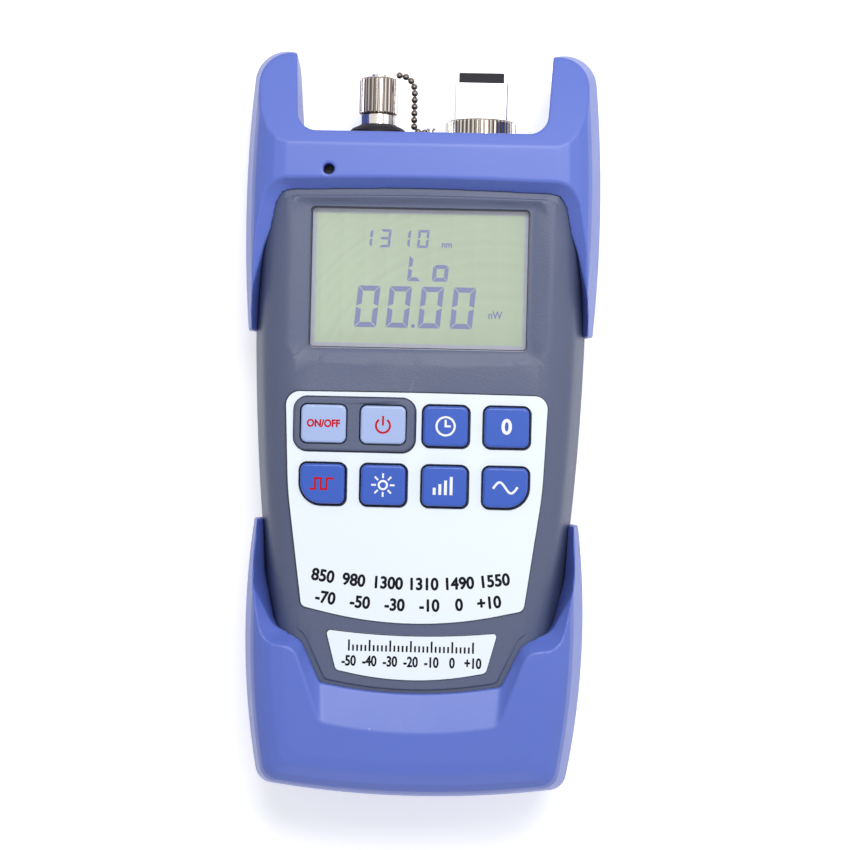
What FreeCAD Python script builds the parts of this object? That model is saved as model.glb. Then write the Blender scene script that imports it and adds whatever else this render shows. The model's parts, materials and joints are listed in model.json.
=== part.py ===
"""Hand-held optical power meter with a visual fault light, lying on its back.

Millimetres.  +Z is the direction the screen faces, +Y points to the optical ports.
The origin is the centre of the meter's bottom, on the surface that it lies on.
"""

import FreeCAD, Part
import math
import os

V = FreeCAD.Vector
os.makedirs("parts", exist_ok=True)

# ---- overall form -------------------------------------------------------------
LENGTH = 184.8            # ear tips to the foot of the lower boot
HALF_LENGTH = LENGTH / 2
BOOT_FRONT = 37.0         # front face of the rubber boots
CASE_FRONT = 34.0         # front face of the raised control panel
CASE_EDGE = 33.3          # front face of the case round that panel
CASE_BACK = 2.4           # back of the hard case; the boots stand this far proud
PARTING = 19.0            # plane where the two case halves meet, the widest place
WALL = 2.2                # case wall
FIT = 0.12                # clearance between fitted pieces of one assembly
RUN = 0.25                # running clearance round moving pieces

# plan outlines: half width, where it is widest, side radius, ends, end radius, corners
TOP_BOOT_PLAN = dict(half=44.1, wide_y=52.0, side_r=350.0, top=HALF_LENGTH, bottom=-10.0,
                     bottom_r=400.0, top_corner=8.0, bottom_corner=8.0)
LOW_BOOT_PLAN = dict(half=42.0, wide_y=-50.0, side_r=200.0, top=10.0, bottom=-HALF_LENGTH,
                     bottom_r=250.0, top_corner=8.0, bottom_corner=4.5)
CASE_PLAN = dict(half=41.0, wide_y=34.0, side_r=640.0, top=70.0, bottom=-88.0,
                 bottom_r=250.0, top_corner=5.0, bottom_corner=10.0)
SIDE_DRAFT = 3.8          # how far the walls lean in from the parting plane
FRONT_ROLL = (7.3, 5.0)   # shoulder of the front: width and height of its quarter ellipse
BACK_ROLL = (4.0, 4.0)
INSIDE_ROLL = (5.0, 3.4)  # the same shoulder inside the wall
ROLL_STEPS = 4            # straight bands that a shoulder's curve is made from

# ---- boots --------------------------------------------------------------------
EAR_INNER = 30.0          # half gap between the ears
EAR_FOOT = 70.6           # edge of the boot between the ears
EAR_FOOT_R = 4.5
EAR_LEAN = 0.9            # how far an ear's inner face leans out towards its tip
EAR_TIP = (2.3, 1.8, 1.5) # eased inner corner of an ear's tip: width, depth, radius
END_LIP = 1.6             # the boot's end window is this much larger than the end plate
EAR_SLOPE_START = 67.4    # crease where the front starts to fall towards the ears
EAR_SLOPE = 20.0          # degrees
LIGHT_HOLE = (-22.3, 61.2)
LIGHT_HOLE_R = 1.35
TOP_CUT_LEVELS = (22.0, 32.0, 38.0)
LOW_CUT_LEVELS = (22.0, 32.0, 34.2, 38.0)
# right half of each opening, corner by corner from the centre line, at those levels
TOP_OPENING = (
    ((0, 55.4, 550), (33.0, 54.0, 5), (38.4, 43.0, 25), (40.4, 22.0, 0), (40.9, -20, 0)),
    ((0, 56.4, 550), (33.4, 55.0, 5), (38.0, 43.0, 25), (43.2, 22.0, 0), (45.0, -20, 0)),
    ((0, 60.4, 900), (39.5, 59.6, 9), (46.0, 43.0, 25), (47.0, 22.0, 0), (48.0, -20, 0)),
)
LOW_OPENING = (
    ((0, -65.9, 110), (22.0, -62.1, 1), (26.4, -50.9, 4), (33.3, -50.4, 5), (37.2, -38.0, 20),
     (37.8, -24.0, 0), (38.5, 15, 0)),
    ((0, -65.9, 110), (22.0, -62.1, 1), (26.4, -50.9, 4), (33.3, -50.4, 5), (39.8, -38.0, 20),
     (41.5, -24.0, 0), (43.0, 15, 0)),
    ((0, -66.7, 110), (21.9, -63.0, 1), (27.2, -52.3, 4), (35.2, -51.9, 5), (41.0, -38.0, 20),
     (42.4, -24.0, 0), (43.7, 15, 0)),
    ((0, -79.0, 110), (21.4, -75.5, 3), (28.6, -54.6, 4), (38.6, -54.4, 7), (43.0, -38.0, 20),
     (44.0, -24.0, 0), (45.0, 15, 0)),
)
# right half of the opening across the back of each boot
TOP_BACK_OPENING = ((0, 42.0, 0), (36.0, 42.0, 8), (39.5, 0, 0))
LOW_BACK_OPENING = ((0, -48.0, 0), (32.0, -48.0, 8), (36.5, 0, 0))
BACK_LIP = 0.9            # the back opening ends this far below the parting plane
TOP_TAIL = (22.5, 12.0, 27.0)     # tail tip: y, and its lower and upper z
LOW_TAIL = (-24.0, 12.0, 27.0)
TAIL_ROOT = 22.0          # length over which a tail widens to the full depth
TAIL_R = 5.0
TAIL_SPREAD = 0.8         # how fast a tail widens towards its root

# ---- front cover --------------------------------------------------------------
PANEL = ((0, 55.7, 900), (33.6, 55.0, 5), (38.5, 40.0, 20), (40.0, 0.0, 60), (36.0, -38.0, 20),
         (32.4, -48.9, 4), (26.4, -50.2, 4), (20.9, -62.0, 2), (0, -65.7, 100))
PANEL_EASE = 0.45         # rounded edge of the raised panel
WINDOW_SIZE = (53.2, 34.4)
WINDOW_CENTRE = (-0.1, 35.4)
WINDOW_R = 1.2
DISH = ((0, 54.7, 900), (31.9, 54.2, 4), (31.9, 15.2, 4), (0, 12.6, 300))
DISH_DEPTH = 0.9
DISH_FLOOR = 1.0          # flat floor round the window opening
LABEL_T = 0.25
KEY_LABEL = ((0, 8.0, 900), (32.0, 7.8, 3.5), (31.0, -16.0, 90), (27.1, -44.5, 2), (0, -50.6, 95))
NAME_LABEL = ((0, -51.9, 180), (21.0, -49.7, 1), (18.3, -59.7, 1.5), (0, -63.3, 75))
KEY_ROWS = (-0.2, -14.7)
KEY_COLUMNS = (-22.3, -7.6, 7.2, 21.9)
KEY_SIZE = (10.7, 9.6)
KEY_R = 1.5
KEY_CUT_CORNER = 5.0      # big outer corner of the two end keys of the lower row
KEY_GAP = 0.35
KEY_TOP = 35.7
LIGHT_KEY_SIZE = (10.9, 9.2)
LIGHT_KEY_COLUMNS = (-22.3, -7.9)
KEY_EASE = 0.6
KEY_TRAVEL = 0.8
KEY_FLANGE = (1.1, 1.0)   # retaining flange of a key: width and thickness
KEY_SEAT_GAP = 0.15       # between that flange and the cover above it
KEY_POCKET = (3.4, 0.3)   # pocket over a dome: radius, and roof below the flange's top
BEZEL = (29.2, 12.9, 3.2) # ring round the two light keys: width, height, corner
BEZEL_CENTRE = (-14.9, -0.2)
BEZEL_TOP = 35.2
BEZEL_EASE = 0.5
LABEL_GAP = 0.1
SHEET_GAP = 0.05          # hairline between flat pieces stacked face to face

# ---- inside -------------------------------------------------------------------
BOARD_T = 1.6
BOARD_TOP = 28.4
BOARD = (57.0, 64.0, -40.5)       # width, top and bottom ends
BOARD_R = 4.0
SCREW_R = 1.25
SCREW_FIT = 0.04
SCREW_HOLE = 0.1          # clearance of a screw in a plain hole
SCREW_SLOT = (0.6, 3.2, 0.6)      # cross slot: width, length, depth
BOSS_R = 3.0
BOSS_ROOT = 0.3           # how far a boss runs into its wall
BOARD_GRIP = 2.2          # thread engaged in a board boss
CASE_GRIP = 6.0
HOLE_SPARE = 0.2          # a blind hole goes on this far past its screw
BOARD_HEAD_T = 1.4
CASE_HEAD_T = 2.0
WELL_DEPTH = 2.6          # counterbore of a case screw, from the back
BOARD_BOSSES = ((24.5, 10.6), (21.0, -36.0))
CASE_BOSSES = ((33.2, 36.0), (28.5, -44.0))
LCD_MARGIN = 2.2
LCD_T = 1.5
WINDOW_GAP = 0.2
MAT_T = 0.7
MAT_MARGIN = 2.5
DOME = (3.0, 2.2)         # mat dome: foot and top radius
LAMP_GAP = 0.15
LAMP_SUNK = 0.8           # indicator's top below the case edge
LAMP_FLANGE = (0.3, 1.2)
CELL_R = 7.25
CELL_LENGTH = 50.0
CELL_PITCH = 15.1
CELL_COUNT = 3
CELL_TOP_Y = 17.0
CELL_NUB = (2.75, 1.3)
BAY_WALL = 1.2
LEAF_BOW = 2.4            # depth that a contact leaf bows out to meet its cell
LEAF_WIDTH = 4.0
LEAF_FOOT = 1.0
CONTACT_T = 0.5
CONTACT_HALF = 5.8        # half width and height of a contact plate
DOOR_T = 1.8
DOOR_MARGIN = 1.6
DOOR_R = 2.0
DOOR_PIN = (0.5, 1.3)     # hinge pin at each end of the door's rounded edge: radius, length
DOOR_RIBS = 6
RIB = (0.5, 1.1, 2.6)     # grip rib: height, width, pitch
RIB_START = 4.0           # first rib, from the bay's end

# ---- ports --------------------------------------------------------------------
PORT_Z = 18.5
PLATE = (56.0, 20.0, 4.0)         # end plate between the ears
PLATE_R = 3.0
LASER_X = -11.7
LASER_BARREL_R = 4.0
LASER_FERRULE_R = 1.25
LASER_FLANGE = 2.0        # inner flange, proud of its barrel
LASER_MODULE = (4.6, 22.0)        # radius, length
COLLAR_R = 4.35
WASHER_R = 7.1
WASHER_TOP = 74.3
WASHER_DOME = ((0, 2.4), (0.7, 3.1), (2.2, 3.8))  # in from the rim, up from the plate
WASHER_LIP = 0.5
PLATE_TOP = 70.3
SEAT_GAP = 0.02           # between faces screwed together
THREAD_FIT = 0.08
FLANGE_T = 1.5            # inner flange of each port behind the end plate
MODULE_END = 60.0
COLLAR_TOP = 76.6
CAP_R = 4.8
CAP_GAP = 0.15            # between the cap and the collar
CAP_TOP = 86.0
CAP_RIDGES = 28
CAP_KNURL = 0.3
CAP_THREAD_END = 81.5
CAP_ROOM = 0.4            # between the thread's end and the bottom of the cap's bore
RIVET_R = 1.9
RIVET_T = 0.9
STEM_R = 0.8              # the rivet's stem in the cap
RING_T = 0.5
LUG = (4.3, 1.6)          # chain lug: reach, width
KNURL_STEPS = (0.35, 0.5, 0.85)   # ends of a knurl's crest and root, as parts of its pitch
BEAD_R = 0.8
BEAD_FORM = (0.45, 0.98, 0.55)    # bead's belt, shoulder and pole, as parts of its radius
BEAD_PITCH = 1.66
LINK_R = 0.28
CHAIN_X = -2.7            # the hanging line and the bends at its two ends
CHAIN_TOP_R = 3.9
CHAIN_FOOT_R = 1.8
CHAIN_FOOT_Y = 74.6
CHAIN_TAIL = 1.2
POST_R = (0.7, 1.1)       # chain post: stem and head
POST_GAP = 0.75
POST_HEAD = (0.6, 1.0)    # its head, from and to, above the last bead
DETECTOR_X = 13.9
DETECTOR_BARREL_R = 6.6
DETECTOR_FLANGE = 1.6
DETECTOR_TOP = 73.4
DETECTOR_BORE = (3.0, 2.0)        # light path: radius, and wall left at its inner end
PHOTODIODE = (4.5, 7.0)   # radius, length
NUT_R = 8.75
NUT_LIFT = 0.5            # between the nut and the end plate
NUT_TOP = 75.6
NUT_ROOF = 1.02           # lip of the nut over the adapter's flange
NUT_RIDGES = 50
NUT_KNURL = 0.35
NECK_R = 4.6
ADAPTER = (13.0, 9.6)
ADAPTER_R = 0.5
ADAPTER_LIFT = 0.12       # between the adapter's block and the nut
ADAPTER_TOP = 84.6
ADAPTER_WALL = 0.85
ADAPTER_FLOOR = 1.6
ADAPTER_FLANGE = (6.5, 1.05)      # flange under the nut's lip: radius, thickness
SLEEVE_WALL = 0.75
SLEEVE_SUNK = 2.5
PLUG_PROUD = 2.7
PLUG_FIT = 0.1
PLUG_EASE = 0.4
PLUG_ROOM = 0.3


# ---- outlines -----------------------------------------------------------------
def arc(centre, start, end):
    """The shorter arc about `centre` from start to end."""
    middle = (start + end) / 2 - centre
    middle = centre + middle / middle.Length * (start - centre).Length
    return Part.Arc(start, middle, end).toShape()


def fillet_centre(a, ra, b, rb):
    """Where circles of radius ra about a and rb about b cross, on the lower right."""
    span = (b - a).Length
    along = (ra * ra - rb * rb + span * span) / (2 * span)
    height = math.sqrt(ra * ra - along * along)
    unit = (b - a) / span
    side = V(unit.y, -unit.x, 0)
    return max((a + unit * along + side * s for s in (height, -height)), key=lambda p: p.x)


def plan_wire(plan, inset, z):
    """Closed plan outline, `inset` inside the plan, at height z."""
    side_c = V(plan["half"] - plan["side_r"], plan["wide_y"], 0)
    side_r = plan["side_r"] - inset
    end_c = V(0, plan["bottom"] + plan["bottom_r"], 0)
    end_r = plan["bottom_r"] - inset
    top = plan["top"] - inset
    low_r = plan["bottom_corner"]
    top_r = plan["top_corner"]
    low = fillet_centre(side_c, side_r - low_r, end_c, end_r - low_r)
    high_y = top - top_r
    high_x = side_c.x + math.sqrt((side_r - top_r) ** 2 - (high_y - side_c.y) ** 2)
    high = V(high_x, high_y, 0)
    corners = [
        V(high.x, top, 0),
        side_c + (high - side_c) * (side_r / (side_r - top_r)),
        side_c + (low - side_c) * (side_r / (side_r - low_r)),
        end_c + (low - end_c) * (end_r / (end_r - low_r)),
    ]
    mirror = [V(-p.x, p.y, 0) for p in corners]
    left_c = V(-side_c.x, side_c.y, 0)
    edges = [
        Part.makeLine(mirror[0], corners[0]),
        arc(high, corners[0], corners[1]),
        arc(side_c, corners[1], corners[2]),
        arc(low, corners[2], corners[3]),
        arc(end_c, corners[3], mirror[3]),
        arc(V(-low.x, low.y, 0), mirror[3], mirror[2]),
        arc(left_c, mirror[2], mirror[1]),
        arc(V(-high.x, high.y, 0), mirror[1], mirror[0]),
    ]
    wire = Part.Wire(edges)
    wire.translate(V(0, 0, z))
    return wire


def roll_levels(far, roll, count=ROLL_STEPS):
    """(z, inset) pairs from the parting plane to the face at z = far, along its rolled shoulder."""
    width, height = roll
    way = 1 if far > PARTING else -1
    start = far - way * height
    span = abs(far - PARTING)
    levels = [((PARTING + start) / 2, SIDE_DRAFT * abs(start - PARTING) / span / 2)]
    for i in range(count + 1):
        angle = math.pi / 2 * i / count
        z = start + way * height * math.sin(angle)
        levels.append((z, SIDE_DRAFT * abs(z - PARTING) / span + width * (1 - math.cos(angle))))
    return levels


def body_loft(plan, back, front, grow=0.0, front_roll=FRONT_ROLL):
    """Moulded body: drafted both ways from the parting plane, with rolled shoulders."""
    below = [(z - grow, inset - grow) for z, inset in roll_levels(back, BACK_ROLL)]
    above = [(z + grow, inset - grow) for z, inset in roll_levels(front, front_roll)]
    levels = below[::-1] + [(PARTING, -grow)] + above
    return Part.makeLoft([plan_wire(plan, inset, z) for z, inset in levels], True, True)


def rounded(points):
    """Closed wire through (x, y, radius) corners, each rounded by its radius."""
    edges = []
    ends = []
    count = len(points)
    for i, (x, y, radius) in enumerate(points):
        here = V(x, y, 0)
        before = V(*points[i - 1][:2], 0) - here
        after = V(*points[(i + 1) % count][:2], 0) - here
        before.normalize()
        after.normalize()
        half = math.acos(max(-1.0, min(1.0, before.dot(after)))) / 2
        if radius <= 0 or half > math.pi / 2 - 1e-4:
            ends.append((here, here))
            continue
        reach = radius / math.tan(half)
        bisector = before + after
        bisector.normalize()
        middle = here + bisector * (radius / math.sin(half) - radius)
        ends.append((here + before * reach, here + after * reach))
        edges.append(Part.Arc(ends[-1][0], middle, ends[-1][1]).toShape())
    for i in range(count):
        start, end = ends[i][1], ends[(i + 1) % count][0]
        if (end - start).Length > 1e-6:
            edges.append(Part.makeLine(start, end))
    return Part.Wire(Part.__sortEdges__(edges))


def mirrored(half):
    """Full corner list from the right half of a symmetric outline."""
    left = [(-x, y, r) for x, y, r in half if x > 0]
    return list(half) + left[::-1]


def prism(points, low, high):
    """Solid between two heights on a rounded outline."""
    wire = rounded(points)
    wire.translate(V(0, 0, low))
    return Part.Face(wire).extrude(V(0, 0, high - low))


def rectangle(width, height, radius, centre=(0, 0)):
    """Corner list of a rounded rectangle."""
    x, y = width / 2, height / 2
    return [(centre[0] + sx * x, centre[1] + sy * y, radius)
            for sx, sy in ((-1, -1), (1, -1), (1, 1), (-1, 1))]


def tapered(low_points, low, high_points, high):
    """Ruled solid between two rounded outlines."""
    wires = []
    for points, z in ((low_points, low), (high_points, high)):
        wire = rounded(points)
        wire.translate(V(0, 0, z))
        wires.append(wire)
    return Part.makeLoft(wires, True, True)


def box(x, y, z):
    """Box from three (low, high) pairs."""
    return Part.makeBox(x[1] - x[0], y[1] - y[0], z[1] - z[0], V(x[0], y[0], z[0]))


def rod(radius, low, high, x, z=PORT_Z):
    """Cylinder along +Y."""
    return Part.makeCylinder(radius, high - low, V(x, low, z), V(0, 1, 0))


def turned(profile, x, z=PORT_Z):
    """Solid of revolution about +Y from (radius, y) corners."""
    points = [V(x + r, y, z) for r, y in profile]
    wire = Part.makePolygon(points + points[:1])
    return Part.Face(wire).revolve(V(x, 0, z), V(0, 1, 0), 360)


def post(radius, low, high, x, y):
    """Cylinder along +Z."""
    return Part.makeCylinder(radius, high - low, V(x, y, low))


def eased(form, radius):
    """The form with its top rim rounded."""
    top = form.BoundBox.ZMax
    return form.makeFillet(radius, [e for e in form.Edges if e.BoundBox.ZMin > top - 0.01])


def both_sides(places):
    """Each (x, y) and its mirror image."""
    return [(s * x, y) for x, y in places for s in (-1, 1)]


def save(name, shape):
    """Write one node."""
    shape = shape.removeSplitter() if shape.ShapeType != "Compound" else shape
    shape.exportStep("parts/%s.step" % name)


# ---- case ---------------------------------------------------------------------
def case_body(grow=0.0):
    """Outer form of the closed hard case."""
    return body_loft(CASE_PLAN, CASE_BACK, CASE_FRONT, grow)


def case_inside():
    """Hollow of the closed case."""
    plan = dict(CASE_PLAN)
    for side in ("half", "top"):
        plan[side] = plan[side] - WALL
    plan["side_r"] = plan["side_r"] - WALL
    plan["bottom"] = plan["bottom"] + WALL
    plan["bottom_r"] = plan["bottom_r"] - WALL
    plan["bottom_corner"] = plan["bottom_corner"] - WALL
    plan["top_corner"] = plan["top_corner"] - WALL
    return body_loft(plan, CASE_BACK + WALL, CASE_EDGE - WALL, 0.0, INSIDE_ROLL)


def key_outline(column, row, grow=0.0):
    """Outline of one blue key, with the big outer corner on the two end keys."""
    x, y = KEY_COLUMNS[column], KEY_ROWS[row]
    points = rectangle(KEY_SIZE[0] + 2 * grow, KEY_SIZE[1] + 2 * grow, KEY_R + grow, (x, y))
    if row == 1 and column in (0, len(KEY_COLUMNS) - 1):
        corner = 0 if column == 0 else 1
        points[corner] = points[corner][:2] + (KEY_CUT_CORNER + grow,)
    return points


def light_key_outline(column, grow=0.0):
    """Outline of one light key."""
    return rectangle(LIGHT_KEY_SIZE[0] + 2 * grow, LIGHT_KEY_SIZE[1] + 2 * grow,
                     KEY_R + grow, (LIGHT_KEY_COLUMNS[column], KEY_ROWS[0]))


def blue_keys():
    """(column, row) of the blue keys: two beside the light pair, four below."""
    return [(2, 0), (3, 0)] + [(column, 1) for column in range(len(KEY_COLUMNS))]


def key_cuts(low, high):
    """Openings for every key."""
    cuts = [prism(key_outline(*place, grow=KEY_GAP), low, high) for place in blue_keys()]
    cuts += [prism(light_key_outline(i, KEY_GAP), low, high) for i in (0, 1)]
    return cuts


def bezel_outline(grow=0.0):
    """Outline of the raised ring round the light keys."""
    return rectangle(BEZEL[0] + 2 * grow, BEZEL[1] + 2 * grow, BEZEL[2] + grow, BEZEL_CENTRE)


def window_outline(grow=0.0):
    """Outline of the display opening."""
    return rectangle(WINDOW_SIZE[0] + 2 * grow, WINDOW_SIZE[1] + 2 * grow,
                     WINDOW_R + grow, WINDOW_CENTRE)


def port_hole(y_low, y_high, grow=FIT):
    """The end plate's form, grown by a clearance."""
    width, height, _ = PLATE
    wire = rounded(rectangle(width + 2 * grow, height + 2 * grow, PLATE_R))
    wire.rotate(V(0, 0, 0), V(1, 0, 0), 90)
    wire.translate(V(0, y_low, PORT_Z))
    return Part.Face(wire).extrude(V(0, y_high - y_low, 0))


def front_cover(body, hollow):
    """Upper half of the case: raised control panel, display dish, key openings, bosses."""
    cover = body.cut(hollow).common(box((-60, 60), (-100, 100), (PARTING, CASE_FRONT + 1)))
    rim = box((-60, 60), (-100, 100), (CASE_EDGE, CASE_FRONT + 1))
    cover = cover.cut(rim.cut(eased(prism(mirrored(PANEL), CASE_EDGE - 1, CASE_FRONT), PANEL_EASE)))
    dish_low = CASE_FRONT - DISH_DEPTH
    x, y = WINDOW_SIZE[0] / 2 + DISH_FLOOR, WINDOW_SIZE[1] / 2 + DISH_FLOOR
    top, bottom = WINDOW_CENTRE[1] + y, WINDOW_CENTRE[1] - y
    floor = [(0, top, 0), (x, top, WINDOW_R), (x, bottom, WINDOW_R), (0, bottom, 0)]
    cover = cover.cut(tapered(mirrored(floor), dish_low, mirrored(DISH), CASE_FRONT + 0.02))
    cover = cover.cut(prism(window_outline(), dish_low - 3, CASE_FRONT + 1))
    cover = cover.fuse(eased(prism(bezel_outline(), CASE_FRONT - 1, BEZEL_TOP), BEZEL_EASE))
    cover = cover.cut(key_cuts(CASE_FRONT - 5, BEZEL_TOP + 1))
    cover = cover.cut(post(LIGHT_HOLE_R, PARTING, CASE_FRONT + 1, *LIGHT_HOLE))
    bosses = []
    for x, y in both_sides(BOARD_BOSSES):
        bosses.append(post(BOSS_R, BOARD_TOP, CASE_EDGE - WALL + BOSS_ROOT, x, y))
    for x, y in both_sides(CASE_BOSSES):
        bosses.append(post(BOSS_R, PARTING, CASE_EDGE - WALL + BOSS_ROOT, x, y))
    cover = cover.fuse(bosses)
    holes = [post(SCREW_R + SCREW_FIT, BOARD_TOP - 1, BOARD_TOP + BOARD_GRIP + HOLE_SPARE, x, y)
             for x, y in both_sides(BOARD_BOSSES)]
    holes += [post(SCREW_R + SCREW_FIT, PARTING - 1, PARTING + CASE_GRIP + HOLE_SPARE, x, y)
              for x, y in both_sides(CASE_BOSSES)]
    return cover.cut(holes + [end_hole()])


def end_hole():
    """Hole in the case's end for the end plate and the flanges behind it."""
    return port_hole(PLATE_TOP - PLATE[2] - FLANGE_T - FIT, CASE_PLAN["top"] + 1)


def bay_size():
    """Inner battery bay: half width, bottom and top ends, roof height."""
    half = CELL_PITCH * CELL_COUNT / 2
    bottom = CELL_TOP_Y - CELL_LENGTH - LEAF_BOW - 2 * CONTACT_T
    top = CELL_TOP_Y + CONTACT_T + FIT
    roof = cell_height() + CELL_R + RUN
    return half, bottom, top, roof


def cell_height():
    """Height of the cells' axes."""
    return CASE_BACK + DOOR_T + RUN + CELL_R


def door_hinge():
    """Height along Y, height along Z and half length of the door's rounded hinge edge."""
    half, bottom, _, _ = bay_size()
    return bottom - DOOR_MARGIN + DOOR_T / 2, CASE_BACK + DOOR_T / 2, half + DOOR_MARGIN


def hinge_rod(radius, half):
    """Rod on the door's hinge axis."""
    y, z, _ = door_hinge()
    return Part.makeCylinder(radius, 2 * half, V(-half, y, z), V(1, 0, 0))


def door_outline(grow, low):
    """Outline of the battery door down to y = low, grown by a clearance."""
    _, _, half = door_hinge()
    top = bay_size()[2] + DOOR_MARGIN + grow
    x = half + grow
    return [(-x, low, 0), (x, low, 0), (x, top, DOOR_R), (-x, top, DOOR_R)]


def rear_cover(body, hollow):
    """Lower half of the case with the battery bay and the screw bosses."""
    cover = body.cut(hollow).common(box((-60, 60), (-100, 100), (CASE_BACK - 1, PARTING)))
    half, bottom, top, roof = bay_size()
    bay = box((-half - BAY_WALL, half + BAY_WALL), (bottom - BAY_WALL, top + BAY_WALL),
              (CASE_BACK + DOOR_T + FIT, roof + BAY_WALL))
    bosses = [post(BOSS_R, CASE_BACK + WALL / 2, PARTING, x, y) for x, y in both_sides(CASE_BOSSES)]
    cover = cover.fuse([bay] + bosses)
    cover = cover.cut(box((-half, half), (bottom, top), (CASE_BACK - 1, roof)))
    pin_r, pin_length = DOOR_PIN
    hinge_y, _, door_half = door_hinge()
    door_low = hinge_y - DOOR_T / 2 - RUN
    holes = [prism(door_outline(RUN, door_low), CASE_BACK - 1, CASE_BACK + DOOR_T + FIT),
             hinge_rod(pin_r + FIT, door_half + pin_length + RUN)]
    for x, y in both_sides(CASE_BOSSES):
        holes.append(post(SCREW_R + SCREW_HOLE, CASE_BACK - 1, PARTING + 1, x, y))
        holes.append(post(2 * SCREW_R + FIT, CASE_BACK - 1, CASE_BACK + WELL_DEPTH, x, y))
    return cover.cut(holes + [end_hole()])


def battery_door():
    """Flush door over the bay: rounded hinge edge with two pins, grip ribs at the latch end."""
    hinge_y, _, door_half = door_hinge()
    pin_r, pin_length = DOOR_PIN
    door = prism(door_outline(0, hinge_y), CASE_BACK, CASE_BACK + DOOR_T)
    door = door.fuse([hinge_rod(DOOR_T / 2, door_half), hinge_rod(pin_r, door_half + pin_length)])
    height, width, pitch = RIB
    start = bay_size()[2] - RIB_START
    half = CELL_PITCH / 2
    ribs = [box((-half, half), (start - i * pitch - width, start - i * pitch),
                (CASE_BACK - height, CASE_BACK + DOOR_T / 2)) for i in range(DOOR_RIBS)]
    return door.fuse(ribs).removeSplitter()


# ---- boots --------------------------------------------------------------------
def tail(tip, low, high, way):
    """What is left of the sides beyond the tail: the form to cut from one boot's open end."""
    root = tip + way * TAIL_ROOT
    spread = TAIL_ROOT * TAIL_SPREAD
    points = [(root + way * 5, low - spread, 0), (root, low - spread, 0), (tip, low, TAIL_R),
              (tip, high, TAIL_R), (root, high + spread, 0), (root + way * 5, high + spread, 0)]
    wire = rounded(points)
    tongue = Part.Face(wire).extrude(V(0, 0, 120))
    tongue.rotate(V(0, 0, 0), V(1, 1, 1), 120)
    tongue.translate(V(-60, 0, 0))
    ends = sorted((tip - way * 40, root))
    return box((-60, 60), ends, (-1, BOOT_FRONT + 1)).cut(tongue)


def opening(heights, outlines):
    """Forms that cut a boot's bevelled opening, through one outline at each height."""
    outlines = [mirrored(outline) for outline in outlines]
    forms = [prism(outlines[0], PARTING - 1, heights[0])]
    for i in range(len(heights) - 1):
        forms.append(tapered(outlines[i], heights[i], outlines[i + 1], heights[i + 1]))
    return forms


def back_opening(outline):
    """Form that cuts the opening across a boot's back."""
    return prism(mirrored(outline), -1, PARTING - BACK_LIP)


def ear_gap():
    """Form of the gap between the two ears."""
    width, depth, radius = EAR_TIP
    lean = EAR_INNER + EAR_LEAN
    notch = [(EAR_INNER, EAR_FOOT, EAR_FOOT_R), (lean, HALF_LENGTH - depth, radius),
             (lean + width, HALF_LENGTH + 1, 0), (lean + width, HALF_LENGTH + 9, 0)]
    return prism(mirrored(notch), -1, BOOT_FRONT + 1)


def top_boot(filled):
    """Upper rubber boot: two ears guard the ports, two tails run down the sides."""
    boot = body_loft(TOP_BOOT_PLAN, 0, BOOT_FRONT)
    boot = boot.common(box((-60, 60), (TOP_TAIL[0] - 1, 100), (-1, BOOT_FRONT + 1)))
    boot = boot.cut(filled)
    for form in opening(TOP_CUT_LEVELS, TOP_OPENING):
        boot = boot.cut(form)
    boot = boot.cut(back_opening(TOP_BACK_OPENING))
    boot = boot.cut(tail(*TOP_TAIL, 1))
    boot = boot.cut(ear_gap())
    boot = boot.cut(port_hole(PLATE_TOP - PLATE[2], EAR_FOOT + 1, END_LIP))
    slope = Part.makeBox(120, 60, 40, V(-60, 0, 0))
    slope.rotate(V(0, 0, 0), V(1, 0, 0), -EAR_SLOPE)
    slope.translate(V(0, EAR_SLOPE_START, BOOT_FRONT))
    boot = boot.cut(slope)
    return boot.cut(post(LIGHT_HOLE_R, PARTING, BOOT_FRONT + 1, *LIGHT_HOLE))


def bottom_boot(filled):
    """Lower rubber boot: a foot with two tails and a bevelled opening round the chin."""
    boot = body_loft(LOW_BOOT_PLAN, 0, BOOT_FRONT)
    boot = boot.common(box((-60, 60), (-100, LOW_TAIL[0] + 1), (-1, BOOT_FRONT + 1)))
    boot = boot.cut(filled)
    for form in opening(LOW_CUT_LEVELS, LOW_OPENING):
        boot = boot.cut(form)
    boot = boot.cut(back_opening(LOW_BACK_OPENING))
    return boot.cut(tail(*LOW_TAIL, -1))


# ---- keys, labels and display -------------------------------------------------
def key_levels():
    """Heights of a key's flange top and of the roof of the pocket over its dome."""
    seat = CASE_EDGE - WALL - KEY_SEAT_GAP
    return seat, seat - KEY_POCKET[1]


def key(outline, skirt):
    """Key cap: rounded top, retaining flange under the cover, pocket over its dome."""
    seat, roof = key_levels()
    thickness = KEY_FLANGE[1]
    cap = eased(prism(outline, seat - thickness, KEY_TOP), KEY_EASE)
    cap = cap.fuse(prism(skirt, seat - thickness, seat))
    middle = cap.BoundBox.Center
    return cap.cut(post(KEY_POCKET[0], seat - thickness - 1, roof, middle.x, middle.y))


def keypad_mat():
    """Silicone sheet with one dome under each key, a key's travel below it."""
    margin = KEY_SIZE[1] / 2 + MAT_MARGIN
    high, low = KEY_ROWS[0] + margin, KEY_ROWS[1] - margin
    mat = prism(rectangle(BOARD[0], high - low, 2, (0, (high + low) / 2)), BOARD_TOP, BOARD_TOP + MAT_T)
    places = [(KEY_COLUMNS[c], KEY_ROWS[r]) for c, r in blue_keys()]
    places += [(x, KEY_ROWS[0]) for x in LIGHT_KEY_COLUMNS]
    low = BOARD_TOP + MAT_T
    tall = key_levels()[1] - KEY_TRAVEL - SHEET_GAP - low
    return mat.fuse([Part.makeCone(*DOME, tall, V(x, y, low)) for x, y in places])


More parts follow.
